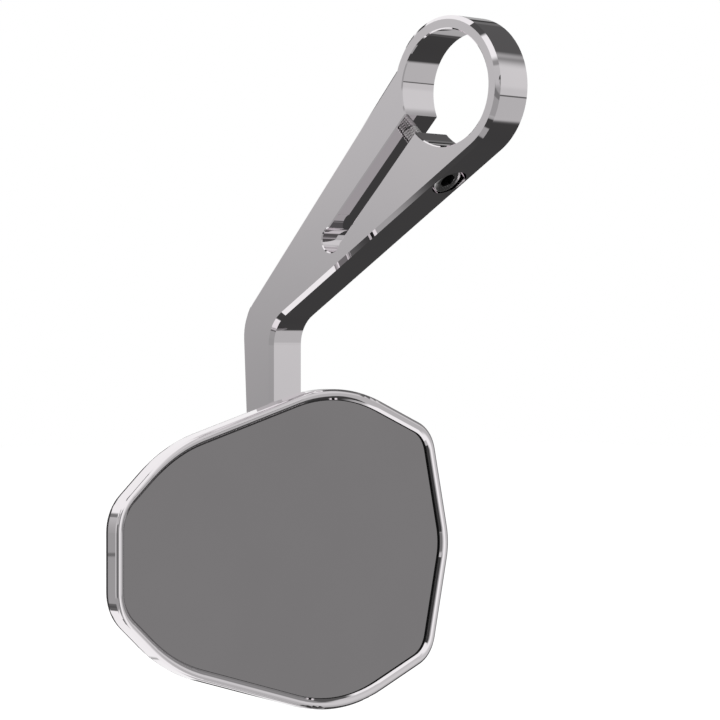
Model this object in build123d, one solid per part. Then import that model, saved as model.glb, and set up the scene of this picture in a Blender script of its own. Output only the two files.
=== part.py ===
from build123d import *
import os
from math import cos, radians, sin, sqrt, tan

# Motorcycle bar end mirror, in millimetres and degrees.
# The origin is the centre of the clamp's bore, halfway through the arm's plate. X runs along
# the bore, Y runs from the rider's side to the leg, and Z is up. The mirror face looks to -Y.

# Clamp ring at the top of the arm
bore_radius = 16.0
ring_wall = 3.75
plate_thickness = 13.0
outer_chamfer = 1.1
edge_break = 0.3

# Arm plate: the two long edges fall from the ring to the leg
lower_edge_slope = 31.07
upper_edge_slope = 47.3
upper_edge_distance = 17.88
inner_bend_radius = 10.0
outer_bend_radius = 15.0

# Leg that drops behind the mirror head
leg_front = 68.54
leg_depth = 9.6
leg_taper = 2.86
joint_drop = 127.9

# Slot that lets the clamp close
slot_angle = 45.0
slot_width = 6.15
slot_offset = 2.72
slot_reach = 59.6
slot_end_radius = 3.55

# Clamp screw, M5 socket head
clamp_screw_reach = 21.0
clamp_head_radius = 4.25
clamp_head_height = 5.0
clamp_head_sink = 0.9
clamp_thread_radius = 2.5
clamp_screw_length = 20.0
clamp_hex_flats = 4.0
clamp_hex_depth = 2.5
clamp_counterbore_radius = 5.0
clamp_drill_spare = 2.5

# Fits
running_gap = 0.05
thread_gap = 0.02
screw_hole_gap = 0.2
seat_gap = 0.3
overcut = 1.0

# Ball stud
ball_radius = 6.0
ball_reach = 12.5
neck_radius = 3.0
collar_radius = 5.2
collar_length = 3.0
collar_flats = 9.0
spigot_radius = 4.0
spigot_length = 2.6

# Screw and spring washer behind the leg that hold the stud, M5 low head
stud_head_radius = 4.25
stud_head_height = 3.5
stud_thread_radius = 2.5
stud_screw_length = 8.0
stud_hex_flats = 3.0
stud_hex_depth = 1.8
stud_thread_spare = 1.0
stud_counterbore_depth = 4.4
washer_thickness = 1.2
washer_radius = 4.2
washer_slit = 0.8

# Mirror head: corners of the outline from the nose on the long axis to the tail, each across and
# up from the ball, with its rounding. The lower half is the same, mirrored.
nose_across = 42.4
nose_round = 22.7
brow_across = 34.8
brow_up = 33.3
brow_round = 10.7
crown_across = -2.8
crown_up = 48.1
crown_round = 52.4
temple_across = -66.5
temple_up = 30.6
temple_round = 50.5
tail_across = -86.2
tail_up = 13.9
tail_round = 13.0

# Rim and stack of the mirror head, from the face back
face_reach = 13.0
rim_round = 1.1
rim_land = 0.85
rim_crown = 1.9
rim_bevel = 1.05
back_round = 2.0
glass_recess = 1.6
glass_thickness = 2.0
glass_margin = 0.08
glass_edge = 0.1
pad_thickness = 1.0
pad_margin = 1.2
floor_thickness = 1.5

# Hub behind the head that holds the ball
hub_radius = 17.5
hub_straight = 5.4
hub_back_radius = 10.5
hub_back_reach = 6.0
hub_foot_round = 1.5
neck_opening = 46.5

# Split seat ring on the leg's side of the ball
rear_seat_wall = 1.4
rear_seat_from = 50.0
rear_seat_to = 73.0
rear_seat_slit = 1.0

# Seat cup on the glass side of the ball
front_seat_radius = 8.2
front_seat_back = 0.3
front_seat_front = 4.4

# Plate, screws and disc springs that press the seats on the ball
press_plate_radius = 14.8
press_plate_thickness = 1.2
press_plate_hole = 4.7
press_travel = 0.5
press_screw_count = 3
press_screw_circle = 11.6
press_screw_start = 90.0
press_head_radius = 2.75
press_head_height = 1.7
press_thread_radius = 1.5
press_screw_length = 7.0
press_hex_flats = 2.0
press_hex_depth = 0.9
press_drill_spare = 0.6
spring_radius = 3.0
spring_thickness = 0.3
spring_rise = 0.1

# Sizes that follow from the ones above
ring_radius = bore_radius + ring_wall
half_plate = plate_thickness / 2
slot_turn = radians(slot_angle)
ball_y = leg_front - ball_reach

# The clamp screw's places along its own axis, counted from the slot's line through the bore
clamp_lean = slot_turn - radians(lower_edge_slope)
clamp_wall = (ring_radius - clamp_screw_reach * sin(clamp_lean)) / cos(clamp_lean)
clamp_seat = clamp_wall - clamp_head_sink - clamp_head_height
clamp_tip = clamp_seat - clamp_screw_length

# Places along the head's normal, counted from the ball
stud_counterbore_floor = -ball_reach - leg_depth + stud_counterbore_depth
stud_seat = stud_counterbore_floor - washer_thickness
rim_width = rim_round + rim_land + rim_bevel
glass_front = face_reach - glass_recess
glass_back = glass_front - glass_thickness
floor_front = glass_back - pad_thickness
floor_back = floor_front - floor_thickness
press_plate_back = front_seat_front
press_plate_front = press_plate_back + press_plate_thickness
pocket_floor = press_plate_back - press_travel
spring_height = spring_thickness + spring_rise
press_seat = press_plate_front + 2 * spring_height

# Radii around the ball
pocket_radius = press_plate_radius + seat_gap
socket_radius = ball_radius + rear_seat_wall + 2 * running_gap
front_bore_radius = front_seat_radius + running_gap

# The ball's own frame: x is across, y is up and z points out of the mirror face
joint_plane = Plane(origin=(0, ball_y, -joint_drop), x_dir=(1, 0, 0), z_dir=(0, -1, 0))

# The clamp screw's own frame: z points out of its head, and z = 0 is level with the bore's axis
clamp_plane = Plane(
    origin=(0, clamp_screw_reach * cos(slot_turn), -clamp_screw_reach * sin(slot_turn)),
    x_dir=(1, 0, 0),
    z_dir=(0, -sin(slot_turn), -cos(slot_turn)),
)


# Small shapes that several pieces share

def rod(radius, low, high):
    """A cylinder along z from low to high."""
    return Pos(0, 0, low) * Cylinder(radius, high - low, align=(Align.CENTER, Align.CENTER, Align.MIN))


def flare(low_radius, high_radius, low, high):
    """A cone along z from low to high."""
    return Pos(0, 0, low) * Cone(
        low_radius, high_radius, high - low, align=(Align.CENTER, Align.CENTER, Align.MIN)
    )


def hex_pit(flats, depth, top):
    """The hexagon socket of a screw, with the drill's cone at its bottom."""
    hexagon = RegularPolygon(flats / 2, 6, major_radius=False)
    pit = extrude(Pos(0, 0, top - depth) * hexagon, depth)
    return pit + flare(0.05, flats / 2, top - depth - flats / 4, top - depth)


def socket_screw(head_radius, head_height, thread_radius, length, flats, depth):
    """A socket screw whose head sits on z = 0, with its thread reaching down."""
    corner = head_height / 8
    head = rod(head_radius, 0, head_height - corner)
    head += flare(head_radius, head_radius - corner, head_height - corner, head_height)
    tip = thread_radius / 4
    thread = rod(thread_radius, tip - length, 0)
    thread += flare(thread_radius - tip, thread_radius, -length, tip - length)
    return head + thread - hex_pit(flats, depth, head_height)


def press_places():
    """The places of the plate's screws around the ball."""
    return PolarLocations(press_screw_circle, press_screw_count, start_angle=press_screw_start)


# Arm: one machined piece with the clamp ring, the slotted plate and the leg

def crossing(point, direction, other_point, other_direction):
    """Where two straight lines of the arm's outline meet."""
    across = direction.X * other_direction.Y - direction.Y * other_direction.X
    gap = other_point - point
    along = (gap.X * other_direction.Y - gap.Y * other_direction.X) / across
    return point + direction * along


def arm_outline():
    """The arm's flat outline, with Y across and Z up."""
    lower = radians(lower_edge_slope)
    upper = radians(upper_edge_slope)
    taper = radians(leg_taper)
    lower_direction = Vector(cos(lower), -sin(lower))
    upper_direction = Vector(cos(upper), -sin(upper))
    back_direction = Vector(sin(taper), cos(taper))
    lower_start = Vector(-sin(lower), -cos(lower)) * ring_radius
    upper_middle = Vector(sin(upper), cos(upper)) * upper_edge_distance
    upper_start = upper_middle + upper_direction * sqrt(ring_radius**2 - upper_edge_distance**2)
    leg_end = -joint_drop - half_plate
    back_middle = Vector(leg_front + leg_depth, -joint_drop)
    leg_top = Vector(leg_front, 0)
    inner_corner = crossing(lower_start, lower_direction, leg_top, Vector(0, 1))
    outer_corner = crossing(upper_start, upper_direction, back_middle, back_direction)
    back_foot = crossing(back_middle, back_direction, Vector(0, leg_end), Vector(1, 0))
    corners = [
        Vector(0, 0), lower_start, inner_corner, Vector(leg_front, leg_end),
        back_foot, outer_corner, upper_start,
    ]
    roundings = [0, 0, inner_bend_radius, 0, 0, outer_bend_radius, 0]
    edge = FilletPolyline(*corners, radius=roundings, close=True)
    return make_face(edge) + Circle(ring_radius)


def make_arm():
    plate = extrude(Plane.YZ * arm_outline(), half_plate, both=True)

    # The leg ends in a half circle about the stud, seen from the front
    reach = leg_front + leg_depth + plate_thickness
    leg_height = joint_drop + ring_radius
    keep = Pos(0, 0, -joint_drop) * Box(
        plate_thickness, 4 * reach, leg_height, align=(Align.CENTER, Align.CENTER, Align.MIN)
    )
    keep += Pos(0, 0, -joint_drop) * Rot(90, 0, 0) * Cylinder(half_plate, 4 * reach)
    plate = plate & keep

    # Every outer edge is chamfered, on both faces and around the leg's end. The edges along X
    # join the outline's stretches, and those along Y are where the leg's end meets its sides.
    outer_edges = plate.edges().filter_by(Axis.X, reverse=True).filter_by(Axis.Y, reverse=True)
    plate = chamfer(outer_edges, outer_chamfer)

    # The bore, the slot and the slot's round end go right through
    slot_plane = Plane(origin=(0, 0, 0), x_dir=(0, cos(slot_turn), -sin(slot_turn)), z_dir=(1, 0, 0))
    opening = Circle(bore_radius)
    opening += Pos(slot_reach / 2, slot_offset) * Rectangle(slot_reach, slot_width)
    opening += Pos(slot_reach, slot_offset) * Circle(slot_end_radius)
    plate -= extrude(slot_plane * opening, plate_thickness, both=True)
    inner_edges = []
    for face in (plate.faces().sort_by(Axis.X)[-1], plate.faces().sort_by(Axis.X)[0]):
        for wire in face.inner_wires():
            inner_edges += wire.edges()
    plate = chamfer(inner_edges, edge_break)

    # The clamp screw's counterbore, clearance hole and blind thread
    holes = rod(clamp_counterbore_radius, clamp_seat, clamp_wall + plate_thickness)
    holes += rod(clamp_thread_radius + screw_hole_gap, -slot_offset, clamp_seat)
    holes += rod(clamp_thread_radius + thread_gap, clamp_tip - clamp_drill_spare, -slot_offset)
    plate -= clamp_plane * holes

    # The stud's spigot hole, and the counterbore of its screw in the leg's back
    spigot_floor = -ball_reach - spigot_length - seat_gap
    stud_holes = rod(spigot_radius + running_gap, spigot_floor, -ball_reach + overcut)
    stud_holes += rod(stud_thread_radius + screw_hole_gap, stud_counterbore_floor, spigot_floor)
    stud_holes += rod(
        stud_head_radius + screw_hole_gap,
        stud_counterbore_floor - 2 * leg_depth,
        stud_counterbore_floor,
    )
    return plate - joint_plane * stud_holes


def make_clamp_screw():
    screw = socket_screw(clamp_head_radius, clamp_head_height, clamp_thread_radius,
                         clamp_screw_length, clamp_hex_flats, clamp_hex_depth)
    return clamp_plane * Pos(0, 0, clamp_seat) * screw


# Ball stud and the screw that pulls it into the leg

def make_ball_stud():
    collar_back = -ball_reach
    collar_front = collar_back + collar_length
    collar = rod(collar_radius, collar_back, collar_front)
    collar = chamfer(collar.edges().group_by(Axis.Z)[-1], edge_break)
    collar = collar & Pos(0, 0, collar_back) * Box(
        collar_flats, 4 * collar_radius, 4 * collar_length
    )
    spigot = rod(spigot_radius, collar_back - spigot_length, collar_back)
    spigot = chamfer(spigot.edges().group_by(Axis.Z)[0], edge_break)
    neck = rod(neck_radius, collar_front, 0)
    thread_top = stud_seat + stud_screw_length + stud_thread_spare
    thread_hole = rod(stud_thread_radius + thread_gap, collar_back - spigot_length, thread_top)
    return joint_plane * (Sphere(ball_radius) + neck + collar + spigot - thread_hole)


def make_stud_screw():
    screw = socket_screw(stud_head_radius, stud_head_height, stud_thread_radius,
                         stud_screw_length, stud_hex_flats, stud_hex_depth)
    return joint_plane * Pos(0, 0, stud_seat) * Rot(180, 0, 0) * screw


def make_stud_washer():
    ring = rod(washer_radius, stud_seat, stud_counterbore_floor)
    ring -= rod(stud_thread_radius + screw_hole_gap, stud_seat, stud_counterbore_floor)
    slit = Pos(0, washer_radius, stud_seat + washer_thickness / 2) * Box(
        washer_slit, 2 * washer_radius, 2 * washer_thickness
    )
    return joint_plane * (ring - slit)


# Seats on both sides of the ball

def make_rear_seat():
    inner = ball_radius + running_gap
    outer = inner + rear_seat_wall
    shell = Sphere(outer) - Sphere(inner)
    far = 2 * outer
    open_slope = tan(radians(rear_seat_from))
    edge_slope = tan(radians(rear_seat_to))
    ring = shell & flare(far * edge_slope, 0, -far, 0)
    ring -= flare(far * open_slope, 0, -far, 0)
    ring -= Pos(0, far / 2, 0) * Box(rear_seat_slit, far, 2 * far)
    return joint_plane * ring


def make_front_seat():
    cup = rod(front_seat_radius, front_seat_back, front_seat_front)
    return joint_plane * (cup - Sphere(ball_radius + running_gap))


# Mirror head

def head_outline():
    """The head's outline seen from the front, about the ball."""
    upper = [
        (brow_across, brow_up, brow_round),
        (crown_across, crown_up, crown_round),
        (temple_across, temple_up, temple_round),
        (tail_across, tail_up, tail_round),
    ]
    corners = [(nose_across, 0)]
    roundings = [nose_round]
    for across, up, rounding in upper:
        corners.append((across, up))
        roundings.append(rounding)
    for across, up, rounding in reversed(upper):
        corners.append((across, -up))
        roundings.append(rounding)
    return make_face(FilletPolyline(*corners, radius=roundings, close=True))


def head_slab(inset, low, high):
    """A slab of the head's outline, smaller by the inset, from low to high."""
    outline = head_outline()
    if inset > 0:
        outline = offset(outline, -inset)
    return extrude(Pos(0, 0, low) * outline, high - low)


def make_housing():
    shell = head_slab(0, floor_back, face_reach)
    shell = fillet(shell.edges().group_by(Axis.Z)[0], back_round)
    shell = fillet(shell.edges().group_by(Axis.Z)[-1], rim_round)

    # The hub stands on the shell's back
    hub_corner = floor_back - hub_straight
    hub = rod(hub_radius, hub_corner, floor_front)
    hub += flare(hub_back_radius, hub_radius, -hub_back_reach, hub_corner)
    shell += hub
    hub_foot = shell.edges().sort_by_distance((0, hub_radius, floor_back))[0]
    shell = fillet(hub_foot, hub_foot_round)

    # The glass pocket has a bevelled edge, which a crown leads into from the rim's front
    shell -= head_slab(rim_width, floor_front, face_reach + overcut)
    land = shell.faces().sort_by(Axis.Z)[-1]
    shell = chamfer(land.inner_wires()[0].edges(), rim_bevel)
    land = shell.faces().sort_by(Axis.Z)[-1]
    shell = fillet(land.inner_wires()[0].edges(), rim_crown)

    # The pocket for the pressing plate, the seats and the ball
    shell -= rod(pocket_radius, pocket_floor, floor_front + overcut)
    shell -= rod(front_bore_radius, 0, pocket_floor + overcut)
    shell -= Sphere(socket_radius)
    far = 2 * hub_back_reach
    shell -= flare(far * tan(radians(neck_opening)), 0, -far, 0)

    # Blind threads for the plate's screws
    tip = press_seat - press_screw_length - press_drill_spare
    for place in press_places():
        shell -= place * rod(press_thread_radius + thread_gap, tip, pocket_floor + overcut)
    return joint_plane * shell


def make_press_plate():
    plate = rod(press_plate_radius, press_plate_back, press_plate_front)
    plate = chamfer(plate.edges(), edge_break)
    plate -= rod(press_plate_hole, press_plate_back, press_plate_front)
    for place in press_places():
        plate -= place * rod(press_thread_radius + screw_hole_gap, press_plate_back, press_plate_front)
    return joint_plane * plate


def disc_spring(low, rises_outward):
    """One conical spring washer, standing on z = low."""
    inner = press_thread_radius + screw_hole_gap
    inner_low = low
    outer_low = low
    if rises_outward:
        outer_low = low + spring_rise
    else:
        inner_low = low + spring_rise
    section = Polyline(
        (inner, inner_low), (spring_radius, outer_low),
        (spring_radius, outer_low + spring_thickness), (inner, inner_low + spring_thickness),
        close=True,
    )
    return revolve(Plane.XZ * make_face(section), Axis.Z)


def make_press_screw():
    return socket_screw(press_head_radius, press_head_height, press_thread_radius,
                        press_screw_length, press_hex_flats, press_hex_depth)


def make_glass_pad():
    pad = head_slab(rim_width + pad_margin, floor_front, glass_back)
    pad -= rod(pocket_radius + pad_margin, floor_front, glass_back)
    return joint_plane * pad


def make_mirror_glass():
    glass = head_slab(rim_width + glass_margin, glass_back, glass_front)
    glass = chamfer(glass.edges().group_by(Axis.Z)[-1], glass_edge)
    return joint_plane * glass


# Write one file for each piece

pieces = {
    "arm": make_arm(),
    "clamp_screw": make_clamp_screw(),
    "ball_stud": make_ball_stud(),
    "stud_washer": make_stud_washer(),
    "stud_screw": make_stud_screw(),
    "rear_seat": make_rear_seat(),
    "front_seat": make_front_seat(),
    "housing": make_housing(),
    "press_plate": make_press_plate(),
    "glass_pad": make_glass_pad(),
    "mirror_glass": make_mirror_glass(),
}

for number, place in enumerate(press_places(), start=1):
    lower_spring = disc_spring(press_plate_front, False)
    upper_spring = disc_spring(press_plate_front + spring_height, True)
    pieces[f"lower_spring_{number}"] = joint_plane * place * lower_spring
    pieces[f"upper_spring_{number}"] = joint_plane * place * upper_spring
    pieces[f"press_screw_{number}"] = joint_plane * place * Pos(0, 0, press_seat) * make_press_screw()

os.makedirs("parts", exist_ok=True)
for name, solid in pieces.items():
    export_step(solid, f"parts/{name}.step")
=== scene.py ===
from math import atan2, cos, pi, radians, sin, sqrt

import bpy
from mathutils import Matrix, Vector


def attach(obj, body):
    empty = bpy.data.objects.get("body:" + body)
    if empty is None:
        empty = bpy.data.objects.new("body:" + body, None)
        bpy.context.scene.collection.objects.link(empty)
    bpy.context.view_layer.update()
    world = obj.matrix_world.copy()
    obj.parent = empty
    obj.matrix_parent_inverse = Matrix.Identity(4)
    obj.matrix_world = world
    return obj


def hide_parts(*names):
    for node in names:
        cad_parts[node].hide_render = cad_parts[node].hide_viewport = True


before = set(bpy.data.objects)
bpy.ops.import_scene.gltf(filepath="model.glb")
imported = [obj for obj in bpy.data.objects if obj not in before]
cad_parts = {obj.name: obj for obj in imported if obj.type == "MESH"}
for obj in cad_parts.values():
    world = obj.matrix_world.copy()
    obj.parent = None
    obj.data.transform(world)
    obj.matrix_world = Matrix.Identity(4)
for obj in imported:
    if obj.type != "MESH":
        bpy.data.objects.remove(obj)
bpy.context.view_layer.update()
bpy.ops.object.select_all(action="DESELECT")


# Arm: one piece of aluminium milled from plate, polished and chrome plated. The clamp ring, the
# slotted plate and the leg are one body, so one finish runs over all of it. Its edges are
# chamfered and the plating is as smooth as glass, with only the faintest haze from polishing.

MM = 0.001
METAL = 1.0
CHROME_COOL = (0.865, 0.832, 0.857)
CHROME_WARM = (0.885, 0.85, 0.87)
HAZE_PATCH = 22 * MM
HAZE_ROUGHNESS = (0.004, 0.012)
POLISHING_MARK = 0.25 * MM
MARK_ROUGHNESS = (0.0, 0.006)
MARK_DEPTH = 0.00002 * MM


def new_material(name, metal):
    """A material with its shader and the piece's own coordinates, ready for a pattern."""
    material = bpy.data.materials.new(name)
    material.use_nodes = True
    nodes = material.node_tree.nodes
    shader = nodes["Principled BSDF"]
    shader.inputs["Metallic"].default_value = metal
    place = nodes.new("ShaderNodeTexCoord")
    return material, shader, place.outputs["Object"]


def feed(owner, socket, value):
    """Links a socket of the material or the world to another one, or sets it. Colours are opaque."""
    if isinstance(value, bpy.types.NodeSocket):
        owner.node_tree.links.new(value, socket)
    elif socket.type == "RGBA":
        socket.default_value = (*value, 1)
    else:
        socket.default_value = value


def add_node(owner, kind, settings=None, inputs=None):
    """One node, with its settings made and its sockets fed."""
    node = owner.node_tree.nodes.new(kind)
    for name, value in (settings or {}).items():
        setattr(node, name, value)
    for name, value in (inputs or {}).items():
        feed(owner, node.inputs[name], value)
    return node


def calculate(owner, operation, *values):
    """One sum on numbers, such as ADD or LESS_THAN."""
    step = add_node(owner, "ShaderNodeMath", {"operation": operation}, dict(enumerate(values)))
    return step.outputs["Value"]


def blend(owner, kind, factor, first, second):
    """Goes from the first value to the second with the factor. The kind is FLOAT or RGBA."""
    mix = add_node(owner, "ShaderNodeMix", {"data_type": kind}, {
        "Factor": factor, "A": first, "B": second,
    })
    return mix.outputs["Result"]


def noise(material, place, size, detail=2.0, stretch=(1, 1, 1)):
    """Cloudy noise whose patches are about that size, in metres, drawn out along the stretch."""
    squeeze = add_node(material, "ShaderNodeMapping", inputs={
        "Vector": place, "Scale": [1 / s for s in stretch],
    })
    cloud = add_node(material, "ShaderNodeTexNoise", inputs={
        "Vector": squeeze.outputs["Vector"], "Scale": 1 / size, "Detail": detail,
    })
    return cloud.outputs["Fac"]


def spread(material, value, low, high):
    """The noise, which is mostly between 0.3 and 0.7, brought to the range from low to high."""
    span = add_node(material, "ShaderNodeMapRange", inputs={
        "Value": value, "From Min": 0.3, "From Max": 0.7, "To Min": low, "To Max": high,
    })
    return span.outputs["Result"]


def two_tone(material, value, first, second):
    """A colour between two, chosen by the noise."""
    return blend(material, "RGBA", spread(material, value, 0, 1), first, second)


def relief(material, shader, height, depth):
    """Raises the surface by the height, up to the depth in metres."""
    bump = add_node(material, "ShaderNodeBump", inputs={"Height": height, "Distance": depth})
    feed(material, shader.inputs["Normal"], bump.outputs["Normal"])


def chrome_plate(name, stretch):
    """Bright chrome plating over polished metal, with the polishing marks drawn out."""
    material, shader, place = new_material(name, METAL)
    haze = noise(material, place, HAZE_PATCH)
    marks = noise(material, place, POLISHING_MARK, 3.0, stretch)
    gloss = calculate(material, "ADD",
                      spread(material, haze, *HAZE_ROUGHNESS), spread(material, marks, *MARK_ROUGHNESS))
    feed(material, shader.inputs["Base Color"], two_tone(material, haze, CHROME_COOL, CHROME_WARM))
    feed(material, shader.inputs["Roughness"], gloss)
    relief(material, shader, marks, MARK_DEPTH)
    return material


def dress(node, material):
    """Gives a piece of the frame its finish."""
    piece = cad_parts[node]
    piece.data.materials.clear()
    piece.data.materials.append(material)


dress("arm", chrome_plate("arm_chrome", stretch=(30, 60, 60)))


# Clamp screw: an M5 socket head screw in bright steel, rolled thread and knurled head. It sits in
# the counterbore under the arm and crosses the slot, where its thread shows. It closes the ring.
# Inside its hexagon socket the steel is painted dull black, as painted shade in the hollow.

BRIGHT_STEEL = (0.66, 0.65, 0.65)
# Painted shade for the inside of the hexagon socket: near black and dull
SOCKET_SHADE_BLACK = (0.028, 0.027, 0.028)
SOCKET_SHADE_ROUGHNESS = 0.5
STEEL_PATCH = 2.5 * MM
STEEL_DARKER = 0.86
TURNING_MARK = 0.08 * MM
TURNING_GLOSS = (0.7, 1.4)
TURNING_DEPTH = 0.0008 * MM


def vector_step(owner, operation, *values):
    """The node of one sum on vectors, such as SUBTRACT or LENGTH."""
    return add_node(owner, "ShaderNodeVectorMath", {"operation": operation}, dict(enumerate(values)))


def between(owner, value, low, high):
    """1 where the value lies between low and high, and 0 elsewhere."""
    off_middle = calculate(owner, "SUBTRACT", value, (low + high) / 2)
    away = calculate(owner, "ABSOLUTE", off_middle)
    return calculate(owner, "LESS_THAN", away, (high - low) / 2)


def turned_steel(name, colour, roughness, middle, axis, socket=None):
    """Turned steel, with fine rings around an axis through the middle.

    The socket's radius, bottom and top along the axis bound the hollow painted dull black as its shade.
    """
    material, shader, place = new_material(name, METAL)
    centred = vector_step(material, "SUBTRACT", place, middle).outputs["Vector"]
    along = vector_step(material, "DOT_PRODUCT", centred, axis).outputs["Value"]
    out = vector_step(material, "LENGTH", centred).outputs["Value"]
    rings = add_node(material, "ShaderNodeCombineXYZ", inputs={"X": along, "Y": out})
    marks = noise(material, rings.outputs["Vector"], TURNING_MARK, 3.0)
    patches = noise(material, place, STEEL_PATCH)
    tone = two_tone(material, patches, [c * STEEL_DARKER for c in colour], colour)
    gloss = spread(material, marks, *(roughness * g for g in TURNING_GLOSS))
    # Painted shade: inside the socket's radius and between its bottom and top, the steel turns black
    # and dull
    if socket is not None:
        radius, bottom, top = socket
        foot = add_node(material, "ShaderNodeVectorMath", {"operation": "SCALE"}, {
            0: axis, "Scale": along,
        })
        sideways = vector_step(material, "DISTANCE", centred, foot.outputs["Vector"]).outputs["Value"]
        black = calculate(material, "MULTIPLY",
                          calculate(material, "LESS_THAN", sideways, radius),
                          between(material, along, bottom, top))
        tone = blend(material, "RGBA", black, tone, SOCKET_SHADE_BLACK)
        gloss = blend(material, "FLOAT", black, gloss, SOCKET_SHADE_ROUGHNESS)
    feed(material, shader.inputs["Base Color"], tone)
    feed(material, shader.inputs["Roughness"], gloss)
    relief(material, shader, marks, TURNING_DEPTH)
    return material


def select_by_place(piece, test, kind="FACE"):
    """In edit mode, selects the faces, edges or points whose middle passes the test."""
    bpy.ops.mesh.select_mode(type=kind)
    bpy.ops.mesh.select_all(action="DESELECT")
    bpy.ops.object.mode_set(mode="OBJECT")
    mesh = piece.data
    if kind == "VERT":
        for vertex in mesh.vertices:
            vertex.select = test(vertex.co)
    elif kind == "EDGE":
        for edge in mesh.edges:
            ends = [mesh.vertices[i].co for i in edge.vertices]
            edge.select = test((ends[0] + ends[1]) / 2)
    else:
        for face in mesh.polygons:
            face.select = test(face.center)
    bpy.ops.object.mode_set(mode="EDIT")


def apply_modifier(piece, kind, **settings):
    """Adds a modifier, sets it and applies it."""
    bpy.context.view_layer.objects.active = piece
    change = piece.modifiers.new("shape", kind)
    for name, value in settings.items():
        setattr(change, name, value)
    bpy.ops.object.modifier_apply(modifier=change.name)


def screw_head(radius, height, flats, depth, knurls):
    """A socket head standing on z = 0: turned blank, knurled side and broached hexagon."""
    lines = 4 * knurls
    corner = height / 8
    groove_scale = 0.972
    bpy.ops.mesh.primitive_cylinder_add(
        vertices=lines, radius=radius, depth=height, location=(0, 0, height / 2))
    head = bpy.context.object
    bpy.ops.object.transform_apply(location=True)
    bpy.ops.object.mode_set(mode="EDIT")
    bpy.ops.mesh.bisect(plane_co=(0, 0, height - 2.2 * corner), plane_no=(0, 0, 1))
    bpy.ops.mesh.select_all(action="SELECT")
    bpy.ops.mesh.bisect(plane_co=(0, 0, corner), plane_no=(0, 0, 1))

    def on_side(co):
        return co.xy.length > 0.9 * radius

    # The knurl's grooves are every fourth line of the side, pressed in at the foot of the knurl
    # and running out at its top
    def in_groove(co):
        line = round(atan2(co.y, co.x) / (2 * pi) * lines)
        return on_side(co) and line % 4 == 0 and abs(co.z - corner) < corner / 2

    select_by_place(head, in_groove, "VERT")
    bpy.ops.transform.resize(value=(groove_scale, groove_scale, 1), center_override=(0, 0, 0))
    tolerance = 0.01 * MM
    select_by_place(head, lambda co: co.z > height - tolerance and on_side(co), "EDGE")
    bpy.ops.mesh.bevel(offset=corner / 2, segments=3)
    select_by_place(head, lambda co: co.z < tolerance and on_side(co), "EDGE")
    bpy.ops.mesh.bevel(offset=corner / 2, segments=1)
    bpy.ops.object.mode_set(mode="OBJECT")

    # The hexagon ends in a ledge and the drill's cone, and a small countersink leads into it
    hexagon = flats / sqrt(3)
    ledge = 0.06 * flats
    cone_depth = flats / 4
    cone_point = 0.05
    bpy.ops.mesh.primitive_cylinder_add(
        vertices=6, radius=hexagon, depth=2 * depth, location=(0, 0, height))
    broach = bpy.context.object
    bpy.ops.object.mode_set(mode="EDIT")
    select_by_place(broach, lambda co: co.z < -0.9 * depth)
    bpy.ops.mesh.inset(thickness=ledge)
    bpy.ops.mesh.extrude_region_move(TRANSFORM_OT_translate={"value": (0, 0, -cone_depth)})
    bpy.ops.transform.resize(value=(cone_point, cone_point, 1), center_override=(0, 0, 0))
    bpy.ops.object.mode_set(mode="OBJECT")
    bpy.ops.mesh.primitive_cone_add(
        vertices=48, radius1=0.8 * hexagon, radius2=1.16 * hexagon, depth=0.4 * flats,
        location=(0, 0, height + 0.03 * flats))
    countersink = bpy.context.object
    for cutter in (broach, countersink):
        apply_modifier(head, "BOOLEAN", operation="DIFFERENCE", object=cutter, solver="EXACT")
        bpy.data.objects.remove(cutter)
    return head


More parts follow.
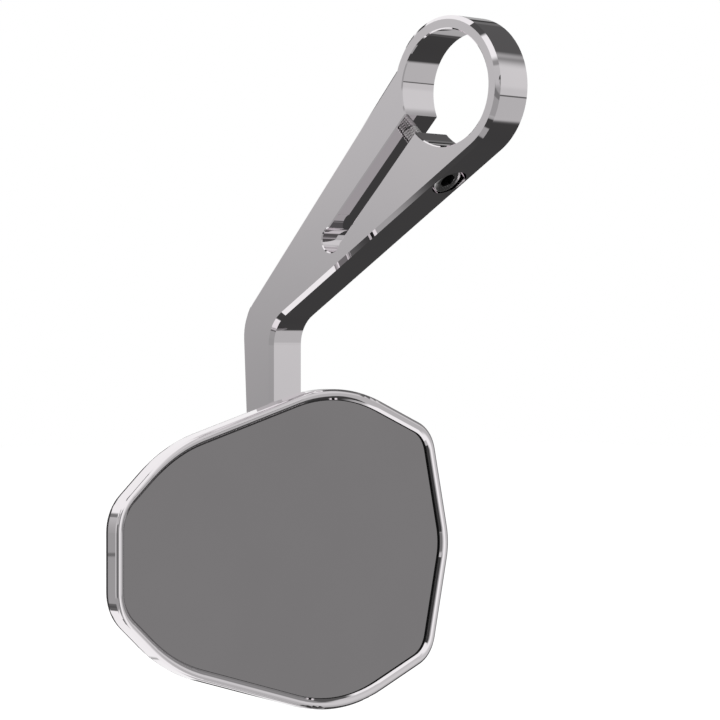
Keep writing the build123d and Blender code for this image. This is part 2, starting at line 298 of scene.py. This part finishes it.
def thread(outer, pitch, turns):
    """A rolled thread around z, hanging down from z = 0, made by turning one crest's profile."""
    inner = outer - 0.61 * pitch
    half_crest = pitch / 14
    steps = 48
    bpy.ops.mesh.primitive_plane_add(size=pitch, rotation=(pi / 2, 0, 0))
    helix = bpy.context.object
    bpy.ops.object.transform_apply(rotation=True)
    bpy.ops.object.mode_set(mode="EDIT")
    select_by_place(helix, lambda co: co.x < -0.4 * pitch, "EDGE")
    bpy.ops.mesh.delete(type="EDGE_FACE")
    bpy.ops.object.mode_set(mode="OBJECT")

    # The outline, open on the axis side, becomes foot, crest, crest, foot
    for vertex in helix.data.vertices:
        above = 1 if vertex.co.z > 0 else -1
        if vertex.co.x < 0:
            vertex.co = (inner, 0, above * pitch / 2)
        else:
            vertex.co = (outer, 0, above * half_crest)
    apply_modifier(helix, "SCREW", axis="Z", angle=2 * pi, screw_offset=pitch, iterations=turns,
                   steps=steps, render_steps=steps, use_merge_vertices=True,
                   merge_threshold=0.0001 * MM)

    # Each open end is drawn in a little and out to a flat cap
    bpy.ops.object.mode_set(mode="EDIT")
    run_out = 0.3 * pitch
    cap_scale = 0.85
    low = -pitch / 2
    high = low + (turns + 1) * pitch
    for cap, near in ((low - run_out, low), (high + run_out, high - pitch)):
        bpy.ops.mesh.select_mode(type="EDGE")
        bpy.ops.mesh.select_all(action="DESELECT")
        bpy.ops.mesh.select_non_manifold(extend=False)
        bpy.ops.object.mode_set(mode="OBJECT")
        for edge in helix.data.edges:
            middle = sum((helix.data.vertices[i].co for i in edge.vertices), Vector()) / 2
            if abs(middle.z - near) > 1.2 * pitch:
                edge.select = False
        for vertex in helix.data.vertices:
            vertex.select = False
        for edge in helix.data.edges:
            if edge.select:
                for i in edge.vertices:
                    helix.data.vertices[i].select = True
        bpy.ops.object.mode_set(mode="EDIT")
        bpy.ops.mesh.extrude_edges_move()
        bpy.ops.transform.resize(value=(cap_scale, cap_scale, 0), center_override=(0, 0, cap))
        bpy.ops.mesh.edge_face_add()
    bpy.ops.mesh.select_all(action="SELECT")
    bpy.ops.mesh.remove_doubles(threshold=0.0005 * MM)
    bpy.ops.mesh.normals_make_consistent(inside=False)
    bpy.ops.object.mode_set(mode="OBJECT")
    helix.location.z = -(high + run_out)
    bpy.ops.object.select_all(action="DESELECT")
    helix.select_set(True)
    bpy.ops.object.transform_apply(location=True)
    return helix


def fit_screw(name, head, shank, seat, outward, body, node, material):
    """Joins the head and the shank, and puts the screw's seat at its place."""
    bpy.ops.object.select_all(action="DESELECT")
    head.select_set(True)
    shank.select_set(True)
    bpy.context.view_layer.objects.active = head
    bpy.ops.object.join()
    head.name = name
    head.data.name = name
    head.location = seat
    head.rotation_euler = Vector(outward).to_track_quat("Z", "Y").to_euler()
    bpy.ops.object.transform_apply(location=True, rotation=True)
    bpy.ops.object.shade_smooth_by_angle(angle=radians(35))
    head.data.materials.append(material)
    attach(head, body)
    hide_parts(node)


SLOT_LEAN = radians(45)
CLAMP_SCREW_REACH = 21.0 * MM
CLAMP_SEAT = 9.24 * MM
M5_THREAD_RADIUS = 2.48 * MM
M5_PITCH = 0.8 * MM
M5_HEAD_RADIUS = 4.25 * MM
M5_KNURLS = 32
clamp_outward = Vector((0, -sin(SLOT_LEAN), -cos(SLOT_LEAN)))
clamp_place = Vector((0, cos(SLOT_LEAN), -sin(SLOT_LEAN))) * CLAMP_SCREW_REACH
clamp_seat = clamp_place + clamp_outward * CLAMP_SEAT
fit_screw(
    "clamp_screw_threaded",
    screw_head(M5_HEAD_RADIUS, height=5 * MM, flats=4 * MM, depth=2.5 * MM, knurls=M5_KNURLS),
    thread(M5_THREAD_RADIUS, M5_PITCH, turns=23),
    clamp_seat, clamp_outward, "arm_body", "clamp_screw",
    turned_steel("bright_screw_steel", BRIGHT_STEEL, 0.14, clamp_seat, clamp_outward,
                 socket=(2.8 * MM, 1.0 * MM, 4.98 * MM)),
)


# Ball stud: turned and ground steel, one piece from the ball to the spigot. The spigot sits in the
# leg, and the collar has two flats for a spanner.

BALL = Vector((0, 56.04, -127.9)) * MM
HEAD_NORMAL = Vector((0, -1, 0))
GROUND_STEEL = (0.64, 0.64, 0.65)
dress("ball_stud", turned_steel("ground_stud_steel", GROUND_STEEL, 0.12, BALL, HEAD_NORMAL))


# Screw and washer behind the leg: a zinc plated M5 low head screw pulls the stud in, over a split
# spring washer. Both lie in the leg's counterbore.

STUD_SEAT = 17.70 * MM
ZINC = (0.55, 0.55, 0.57)
ZINC_ROUGHNESS = 0.24
WASHER_STEEL = (0.30, 0.295, 0.29)
stud_seat = BALL - HEAD_NORMAL * STUD_SEAT
fit_screw(
    "stud_screw_threaded",
    screw_head(M5_HEAD_RADIUS, height=3.5 * MM, flats=3 * MM, depth=1.8 * MM, knurls=M5_KNURLS),
    thread(M5_THREAD_RADIUS, M5_PITCH, turns=8),
    stud_seat, -HEAD_NORMAL, "arm_body", "stud_screw",
    turned_steel("zinc_screw_steel", ZINC, ZINC_ROUGHNESS, stud_seat, HEAD_NORMAL),
)
dress("stud_washer", turned_steel("oiled_washer_steel", WASHER_STEEL, 0.34, BALL, HEAD_NORMAL))


# Seats: moulded natural nylon on both sides of the ball. The split ring bears on the housing's
# pocket, and the cup is pressed from the glass side.

NYLON_DARK = (0.80, 0.785, 0.73)
NYLON_PALE = (0.87, 0.86, 0.82)
NYLON_PATCH = 4 * MM
NYLON_SKIN = 0.15 * MM


def moulded_nylon(name):
    """Natural nylon, faintly mottled, with the skin that a mould leaves."""
    material, shader, place = new_material(name, 0.0)
    cloud = noise(material, place, NYLON_PATCH)
    skin = noise(material, place, NYLON_SKIN, 4.0)
    feed(material, shader.inputs["Base Color"], two_tone(material, cloud, NYLON_DARK, NYLON_PALE))
    feed(material, shader.inputs["Roughness"], spread(material, skin, 0.36, 0.5))
    shader.inputs["Subsurface Weight"].default_value = 0.15
    shader.inputs["Subsurface Scale"].default_value = 1.5 * MM
    relief(material, shader, skin, 0.004 * MM)
    return material


nylon = moulded_nylon("natural_nylon")
dress("rear_seat", nylon)
dress("front_seat", nylon)


# Housing: the mirror head's shell, milled from one block, polished and chrome plated as the arm
# is. Its rim stands proud of the glass with a bevel, and the hub behind holds the ball. The wall of
# the glass pocket, from the bevel down, is coloured near black: painted shade in the gap round the
# glass.

HEAD_MIDDLE = Vector((-21.9, 45.9, -127.9)) * MM
IN_HEAD_PLANE = (1, 0, 1)
FACING_INWARD = -5 * MM
POCKET_EDGE = 44.11 * MM
POCKET_FLOOR = 47.7 * MM
# Painted shade for the pocket's wall round the glass: near black and dull
POCKET_SHADE_BLACK = (0.004, 0.004, 0.004)
POCKET_SHADE_ROUGHNESS = 0.6

housing = chrome_plate("housing_chrome", stretch=(60, 30, 60))
shader = housing.node_tree.nodes["Principled BSDF"]
spot = housing.node_tree.nodes["Texture Coordinate"].outputs
plated = shader.inputs["Base Color"].links[0].from_socket
polished = shader.inputs["Roughness"].links[0].from_socket

# The painted shade is where the surface faces the head's middle and lies between the pocket's
# edge and its floor
from_middle = vector_step(housing, "SUBTRACT", spot["Object"], HEAD_MIDDLE).outputs["Vector"]
across = vector_step(housing, "MULTIPLY", from_middle, IN_HEAD_PLANE).outputs["Vector"]
facing = vector_step(housing, "DOT_PRODUCT", across, spot["Normal"]).outputs["Value"]
depth = add_node(housing, "ShaderNodeSeparateXYZ", inputs={"Vector": spot["Object"]})
pocket_shade = calculate(housing, "MULTIPLY",
                    calculate(housing, "LESS_THAN", facing, FACING_INWARD),
                    between(housing, depth.outputs["Y"], POCKET_EDGE, POCKET_FLOOR))
feed(housing, shader.inputs["Base Color"], blend(housing, "RGBA", pocket_shade, plated, POCKET_SHADE_BLACK))
feed(housing, shader.inputs["Metallic"], calculate(housing, "SUBTRACT", METAL, pocket_shade))
feed(housing, shader.inputs["Roughness"],
     blend(housing, "FLOAT", pocket_shade, polished, POCKET_SHADE_ROUGHNESS))
dress("housing", housing)


# Pressing plate, its disc springs and its three screws: the stamped and zinc plated plate closes
# the hub from the glass side, and the oiled springs keep the ball tight as the nylon wears.

SCREW_CIRCLE = 11.6 * MM
OILED_STEEL = (0.33, 0.325, 0.32)
STAMPED_GREY = (0.52, 0.515, 0.50)
STAMPED_YELLOW = (0.63, 0.61, 0.55)


def stamped_zinc(name):
    """Zinc plating on stamped steel: pale patches, and a faint yellow from the passivation."""
    material, shader, place = new_material(name, METAL)
    patches = noise(material, place, 1.6 * MM, 5.0)
    grain = noise(material, place, 0.1 * MM, 3.0)
    feed(material, shader.inputs["Base Color"],
         two_tone(material, patches, STAMPED_GREY, STAMPED_YELLOW))
    feed(material, shader.inputs["Roughness"], spread(material, grain, 0.26, 0.4))
    relief(material, shader, grain, 0.003 * MM)
    return material


dress("press_plate", stamped_zinc("stamped_zinc_plate"))
for number in (1, 2, 3):
    turn = radians(90 + 120 * (number - 1))
    middle = BALL + Vector((cos(turn), 0, sin(turn))) * SCREW_CIRCLE
    oiled = turned_steel(f"oiled_spring_steel_{number}", OILED_STEEL, 0.3, middle, HEAD_NORMAL)
    zinc = turned_steel(f"zinc_press_screw_{number}", ZINC, ZINC_ROUGHNESS, middle, HEAD_NORMAL)
    dress(f"lower_spring_{number}", oiled)
    dress(f"upper_spring_{number}", oiled)
    dress(f"press_screw_{number}", zinc)


# Pad under the glass: black closed cell foam with adhesive on both sides, cut to the glass.

FOAM_DARK = (0.022, 0.022, 0.024)
FOAM_PALE = (0.042, 0.042, 0.045)
FOAM_CELL = 0.35 * MM

foam, shader, place = new_material("black_foam", 0.0)
clouds = noise(foam, place, 3 * MM)
cells = add_node(foam, "ShaderNodeTexVoronoi", inputs={"Vector": place, "Scale": 1 / FOAM_CELL})
feed(foam, shader.inputs["Base Color"], two_tone(foam, clouds, FOAM_DARK, FOAM_PALE))
feed(foam, shader.inputs["Roughness"], 0.92)
relief(foam, shader, cells.outputs["Distance"], 0.08 * MM)
dress("glass_pad", foam)


# Mirror glass: flat tinted glass, silvered at the back, set a little below the rim. The face
# mirrors darkly, and the ground edge around it is matt.

GLASS_FACE = 44.64 * MM
FACE_MARGIN = 0.02 * MM
TINT_DARK = (0.306, 0.294, 0.300)
TINT_PALE = (0.314, 0.302, 0.308)
GROUND_GREEN = (0.10, 0.115, 0.11)
GROUND_ROUGHNESS = 0.45

glass, shader, place = new_material("tinted_mirror", METAL)
depth = add_node(glass, "ShaderNodeSeparateXYZ", inputs={"Vector": place})
ground = calculate(glass, "GREATER_THAN", depth.outputs["Y"], GLASS_FACE + FACE_MARGIN)
tint = two_tone(glass, noise(glass, place, 30 * MM), TINT_DARK, TINT_PALE)
polish = spread(glass, noise(glass, place, 12 * MM, 4.0), 0.01, 0.03)
feed(glass, shader.inputs["Base Color"], blend(glass, "RGBA", ground, tint, GROUND_GREEN))
feed(glass, shader.inputs["Roughness"], blend(glass, "FLOAT", ground, polish, GROUND_ROUGHNESS))
dress("mirror_glass", glass)


# Studio: a white tent with grey and black cards hung in it, which only the metal and the glass
# see. All else gets plain light from every side, and the camera sees plain white behind the object.

TENT = 0.97
PLAIN_LIGHT = 0.9
BACKGROUND = 1.0

world = bpy.data.worlds.new("studio")
bpy.context.scene.world = world
world.use_nodes = True
world.cycles.sampling_method = "NONE"

direction = add_node(world, "ShaderNodeTexCoord")
split = add_node(world, "ShaderNodeSeparateXYZ", inputs={"Vector": direction.outputs["Generated"]})
bearing = calculate(world, "ARCTAN2", split.outputs["Y"], split.outputs["X"])
height = calculate(world, "ARCSINE", split.outputs["Z"])


def inside(angle, start, end, softness):
    """1 where the angle lies between start and end, falling to 0 across a border that soft."""
    middle = radians((start + end) / 2)
    half = radians(abs(end - start) / 2)
    border = radians(softness) / 2
    off_middle = calculate(world, "SUBTRACT", angle, middle)
    shorter_way = calculate(world, "WRAP", off_middle, pi, -pi)
    fade = add_node(world, "ShaderNodeMapRange", {"interpolation_type": "SMOOTHSTEP"}, {
        "Value": calculate(world, "ABSOLUTE", shorter_way),
        "From Min": half - border, "From Max": half + border, "To Min": 1.0, "To Max": 0.0,
    })
    return fade.outputs["Result"]


def hang_card(seen, bearings, heights, brightness, softness):
    """Paints one card over what is already seen."""
    shape = calculate(world, "MULTIPLY",
                      inside(bearing, *bearings, softness[0]), inside(height, *heights, softness[1]))
    tone = add_node(world, "ShaderNodeMapRange", inputs={
        "Value": height, "From Min": radians(heights[0]), "From Max": radians(heights[1]),
        "To Min": brightness[0], "To Max": brightness[1],
    })
    return blend(world, "FLOAT", shape, seen, tone.outputs["Result"])


# Each card is a patch of the tent, from one bearing to another and from one height to another, in
# degrees about the object. Bearing 0 looks along +X and 90 along +Y. Then come its brightness at its
# lower and upper edge, and the width of its soft border across and upwards. A card hangs in front
# of those before it.
CARDS = (
    # A soft grey between the camera and the tent's white, then the grey wall beside and behind
    # the camera, which the arm's flat face mirrors. The wall is darker below.
    ((-142, -112), (-34, 34), (0.30, 0.30), (18, 8)),
    ((124, 228.15), (-37, 26), (0.52, 0.56), (0.1, 3)),
    ((124, 228.15), (-37, 2), (0.36, 0.36), (0.1, 8)),
    ((141, 162), (-14, 14), (0.66, 0.66), (4, 4)),
    ((178, 218), (-14, 14), (0.14, 0.14), (14, 4)),
    # Grey over the wall, which the arm's lower chamfer mirrors
    ((180, 222), (14, 35), (0.5, 0.5), (3, 3)),
    ((161, 179), (26, 44), (0.2, 0.2), (3, 3)),
    # The wall's far edge with its lines, which the head's tail mirrors
    ((124, 131.5), (-37, 26), (0.36, 0.36), (0.2, 3)),
    ((124, 131.5), (0, 26), (0.38, 0.58), (0.2, 2)),
    ((121.5, 126.5), (20.5, 24.8), (0.22, 0.22), (1, 1.5)),
    ((118, 126), (-30.8, -21), (0.13, 0.13), (2, 2)),
    ((124, 131.5), (-3.9, -3.83), (0.17, 0.17), (0.4, 0.04)),
    # Black cards behind the object, which its silhouettes on the left mirror
    ((60, 123), (-26, 26), (0.05, 0.05), (3, 3)),
    ((66, 100), (-35.5, -24), (0.05, 0.05), (2, 2)),
    ((72, 100), (24, 34.5), (0.05, 0.05), (2, 2)),
    ((48.3, 62), (-17, 4), (0.05, 0.05), (1, 1)),
    ((50, 60), (10.3, 16), (0.08, 0.08), (0.8, 0.8)),
    # Black posts beside the camera, which the rim's bevel on the right mirrors, and grey under them
    ((-148, -118), (-62, -33), (0.5, 0.5), (3, 3)),
    ((-148, -126), (-76, -60), (0.35, 0.35), (3, 3)),
    ((-132, -125), (9, 36), (0.055, 0.055), (0.05, 3)),
    ((-131.85, -125), (-34, -13), (0.055, 0.055), (0.1, 3)),
    ((-132.7, -125), (-30, -15.5), (0.055, 0.055), (0.1, 0.8)),
    ((-133.4, -132.5), (-15, 9), (0.2, 0.2), (0.3, 2)),
    # The light grey screen on the right, in two halves with the dark gap between
    ((-72, -16), (-52, -4), (0.50, 0.50), (34, 4)),
    ((-72, -22), (-7.5, 52), (0.60, 0.60), (34, 1)),
    ((-56, -22), (1, 36), (0.67, 0.68), (4, 6)),
    ((-44.9, -36), (-8.6, -7.1), (0.12, 0.12), (0.3, 0.4)),
    # Dark cards over and under the arm, which the ring and the long lower wall mirror, and the
    # middling ones between them
    ((-34, 40), (-10, 33), (0.26, 0.26), (7, 7)),
    ((0, 40), (-10, 33), (0.17, 0.17), (16, 4)),
    ((-28, 40), (-36, -11), (0.07, 0.07), (5, 8)),
    ((-27, 33), (32, 52), (0.10, 0.10), (8, 5)),
    ((-36, 33), (-56, -33.3), (0.045, 0.05), (4, 3.5)),
    ((33, 47), (-31, 25), (0.42, 0.42), (3, 3)),
    ((33, 37), (24, 31), (0.04, 0.04), (2, 2)),
    # Overhead and underfoot
    ((143, 205), (64, 80), (0.08, 0.08), (4, 4)),
    ((-30, 35), (57, 70), (0.68, 0.68), (10, 4)),
    ((-20, 45), (-70, -52), (0.47, 0.47), (10, 8)),
    ((-170, -134), (-60, -34), (0.38, 0.38), (3, 3)),
    ((-174, -148), (-74, -57), (0.3, 0.3), (3, 3)),
    ((-151, -138), (-47, -36.5), (0.05, 0.05), (2, 2)),
    ((160.2, 180), (-71, -57.5), (0.38, 0.38), (0.8, 2)),
    ((164.8, 199), (-71, -57.5), (0.06, 0.045), (3.4, 2)),
)
seen = TENT
for card in CARDS:
    seen = hang_card(seen, *card)

rays = add_node(world, "ShaderNodeLightPath").outputs
looked_at = calculate(world, "MAXIMUM", rays["Is Camera Ray"], rays["Is Transmission Ray"])
lit = blend(world, "FLOAT", rays["Is Glossy Ray"], PLAIN_LIGHT, seen)
sky = world.node_tree.nodes["Background"]
feed(world, sky.inputs["Strength"], blend(world, "FLOAT", looked_at, lit, BACKGROUND))
feed(world, sky.inputs["Color"], (1, 1, 1))


# Floor: plain white paper, far enough below that the head can turn on its ball above it. It keeps
# the object's soft shadow, and it isn't seen in the metal. The camera sees it a little lighter
# than its paint, so that it meets the white behind it.

FLOOR_HEIGHT = -0.25
FLOOR_SIZE = 8
PAPER_WHITE = (0.93, 0.93, 0.93)
PAPER_LIFT = (0.22, 0.22, 0.22)

bpy.ops.mesh.primitive_plane_add(size=FLOOR_SIZE, location=(0, 0, FLOOR_HEIGHT))
floor = bpy.context.object
floor.name = "floor"
floor.visible_glossy = False
paper, shader = new_material("white_paper", 0.0)[:2]
feed(paper, shader.inputs["Base Color"], PAPER_WHITE)
feed(paper, shader.inputs["Roughness"], 0.9)
feed(paper, shader.inputs["Specular IOR Level"], 0.0)
camera_ray = add_node(paper, "ShaderNodeLightPath").outputs["Is Camera Ray"]
lift = add_node(paper, "ShaderNodeEmission", inputs={"Color": PAPER_LIFT, "Strength": camera_ray})
both = add_node(paper, "ShaderNodeAddShader", inputs={
    0: shader.outputs["BSDF"], 1: lift.outputs["Emission"],
})
feed(paper, paper.node_tree.nodes["Material Output"].inputs["Surface"], both.outputs["Shader"])
floor.data.materials.append(paper)


# Lamp: one soft square lamp, high in front and to the left. It lights the nylon, the foam and the
# paper, and the metal doesn't mirror it.

LAMP_PLACE = Vector((-0.3, -0.5, 1.3))
LAMP_AIM = Vector((0, 0.02, -0.08))
LAMP_SIDE = 0.9
LAMP_WATTS = 4

bpy.ops.object.light_add(type="AREA", location=LAMP_PLACE)
lamp = bpy.context.object
lamp.rotation_euler = (LAMP_AIM - LAMP_PLACE).to_track_quat("-Z", "Y").to_euler()
lamp.data.size = LAMP_SIDE
lamp.data.energy = LAMP_WATTS
lamp.visible_glossy = False


# Camera: the photograph's own place and lens. It looks level, at about half the mirror's height,
# from the front and the left.

CAMERA_PLACE = (-0.5782, -0.5349, -0.0743)
CAMERA_TURN = radians(-45.225)

bpy.ops.object.camera_add(location=CAMERA_PLACE, rotation=(pi / 2, 0, CAMERA_TURN))
camera = bpy.context.object
camera.data.lens = 143.56
camera.data.sensor_width = 36
camera.data.clip_start = 0.01
bpy.context.scene.camera = camera
bpy.context.scene.view_settings.view_transform = "Standard"
